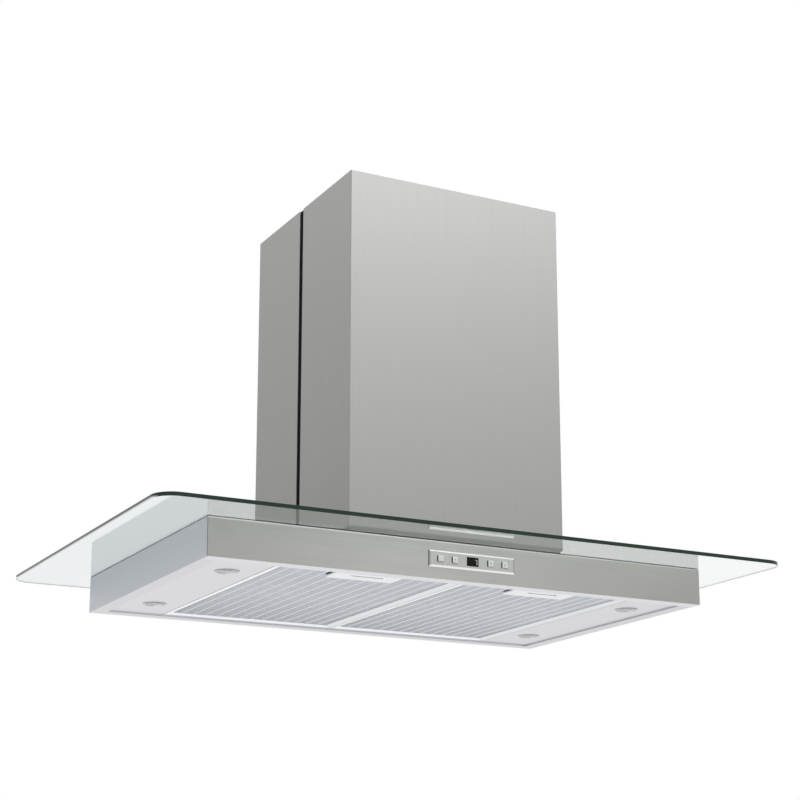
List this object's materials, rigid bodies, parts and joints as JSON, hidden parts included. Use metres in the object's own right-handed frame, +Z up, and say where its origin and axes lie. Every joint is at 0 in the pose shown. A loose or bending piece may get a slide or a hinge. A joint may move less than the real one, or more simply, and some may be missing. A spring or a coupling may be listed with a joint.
{
  "type": "island range hood",
  "caption": "Ceiling-hung island extractor hood with a rectangular telescopic steel chimney, flat glass plate, slim canopy, hinged grease filters, lamps and push-button panel.",
  "frame": {"origin": "centre of the ceiling plate's top face, which is fixed to the ceiling", "axes": "+Z up, towards the ceiling; +X along the longest side of the glass; -Y towards the front with the control panel"},
  "size_m": [0.898, 0.6, 0.544],
  "materials": {
    "stainless": "fine horizontal brushing",
    "chimney_steel": "fine brushing",
    "skirt_steel": "satin, slightly cooler",
    "collar_steel": "grey, in the shade of the chimney",
    "slot_black": "dull black",
    "tray_steel": "light satin",
    "galvanised": "galvanised sheet",
    "zinc_screws": "zinc plated",
    "clear_glass": "polished, faint green edge",
    "lamp_glass": "frosted",
    "gasket_rubber": "matt black",
    "black_plastic": "matt black",
    "frame_aluminium": "satin anodised",
    "mesh_aluminium": "expanded mesh",
    "handle_finish": "satin light",
    "panel_silver": "silver",
    "button_grey": "light grey",
    "display_black": "gloss black",
    "board_green": "solder mask",
    "motor_steel": "dark painted",
    "shaft_steel": "ground",
    "grey_plastic": "moulded",
    "white_plastic": "moulded"
  },
  "bodies": {
    "ceiling_frame": {"ceiling_plate": "galvanised", "upper_frame_fixings": "zinc_screws", "inner_chimney_front": "chimney_steel", "inner_chimney_rear": "chimney_steel", "upper_post_front_left": "galvanised", "upper_post_front_right": "galvanised", "upper_post_rear_left": "galvanised", "upper_post_rear_right": "galvanised"},
    "hood": {"base_collar": "collar_steel", "blower_casing": "galvanised", "bottom_tray": "tray_steel", "cable_gland": "black_plastic", "canopy_skirt": "skirt_steel", "canopy_top": "galvanised", "capacitor": "white_plastic", "chimney_front": "chimney_steel", "chimney_rear": "chimney_steel", "chimney_strip_left": "slot_black", "chimney_strip_right": "slot_black", "clamp_screws": "zinc_screws", "control_bezel": "panel_silver", "control_board": "board_green", "display_window": "display_black", "filter_hinge_rod": "shaft_steel", "filter_support_bar": "galvanised", "flap_pins": "shaft_steel", "front_fascia": "stainless", "glass_gasket": "gasket_rubber", "glass_plate": "clear_glass", "height_screws": "zinc_screws", "lamp_holders": "grey_plastic", "lamp_lenses": "lamp_glass", "lamp_rings": "tray_steel", "lamp_transformer": "black_plastic", "lower_frame": "galvanised", "motor": "motor_steel", "motor_bracket": "galvanised", "outlet_collar": "grey_plastic", "scroll_side_left": "grey_plastic", "scroll_side_right": "grey_plastic", "scroll_wrapper": "grey_plastic", "terminal_box": "white_plastic"},
    "filter_left": {"filter_frame_left": "frame_aluminium", "filter_mesh_left": "mesh_aluminium", "latch_springs_left": "shaft_steel"},
    "filter_right": {"filter_frame_right": "frame_aluminium", "filter_mesh_right": "mesh_aluminium", "latch_springs_right": "shaft_steel"},
    "latch_left": {"filter_handle_left": "handle_finish"},
    "latch_right": {"filter_handle_right": "handle_finish"},
    "button_1": {"button_1": "button_grey"},
    "button_2": {"button_2": "button_grey"},
    "button_3": {"button_3": "button_grey"},
    "button_4": {"button_4": "button_grey"},
    "impeller": {"impeller_blades": "grey_plastic", "impeller_rings": "grey_plastic", "impeller_disc": "grey_plastic", "motor_shaft": "shaft_steel"},
    "damper_front": {"damper_flap_front": "grey_plastic"},
    "damper_rear": {"damper_flap_rear": "grey_plastic"}
  },
  "joints": [
    {"name": "height_slide", "type": "slide", "parent": "ceiling_frame", "child": "hood", "axis": [0, 0, -1], "range_m": [0, 0.3]},
    {"name": "filter_left_hinge", "type": "hinge", "parent": "hood", "child": "filter_left", "pos_m": [-0.1295, 0.236, -0.5375], "axis": [1, 0, 0], "range_deg": [0, 75]},
    {"name": "latch_left_slide", "type": "slide", "parent": "filter_left", "child": "latch_left", "axis": [0, 1, 0], "range_m": [0, 0.006], "stiffness_N_per_m": 1200, "springref_m": -0.003, "deforming": ["latch_springs_left"]},
    {"name": "filter_right_hinge", "type": "hinge", "parent": "hood", "child": "filter_right", "pos_m": [0.1295, 0.236, -0.5375], "axis": [1, 0, 0], "range_deg": [0, 75]},
    {"name": "latch_right_slide", "type": "slide", "parent": "filter_right", "child": "latch_right", "axis": [0, 1, 0], "range_m": [0, 0.006], "stiffness_N_per_m": 1200, "springref_m": -0.003, "deforming": ["latch_springs_right"]},
    {"name": "button_1_press", "type": "slide", "parent": "hood", "child": "button_1", "axis": [0, 1, 0], "range_m": [0, 0.001], "stiffness_N_per_m": 1500, "springref_m": -0.0008},
    {"name": "button_2_press", "type": "slide", "parent": "hood", "child": "button_2", "axis": [0, 1, 0], "range_m": [0, 0.001], "stiffness_N_per_m": 1500, "springref_m": -0.0008},
    {"name": "button_3_press", "type": "slide", "parent": "hood", "child": "button_3", "axis": [0, 1, 0], "range_m": [0, 0.001], "stiffness_N_per_m": 1500, "springref_m": -0.0008},
    {"name": "button_4_press", "type": "slide", "parent": "hood", "child": "button_4", "axis": [0, 1, 0], "range_m": [0, 0.001], "stiffness_N_per_m": 1500, "springref_m": -0.0008},
    {"name": "impeller_spin", "type": "hinge", "parent": "hood", "child": "impeller", "pos_m": [0, -0.01, -0.36], "axis": [1, 0, 0], "continuous": true},
    {"name": "damper_front_hinge", "type": "hinge", "parent": "hood", "child": "damper_front", "pos_m": [0, -0.0032, -0.212], "axis": [-1, 0, 0], "range_deg": [0, 80]},
    {"name": "damper_rear_hinge", "type": "hinge", "parent": "hood", "child": "damper_rear", "pos_m": [0, 0.0032, -0.212], "axis": [1, 0, 0], "range_deg": [0, 80]}
  ]
}
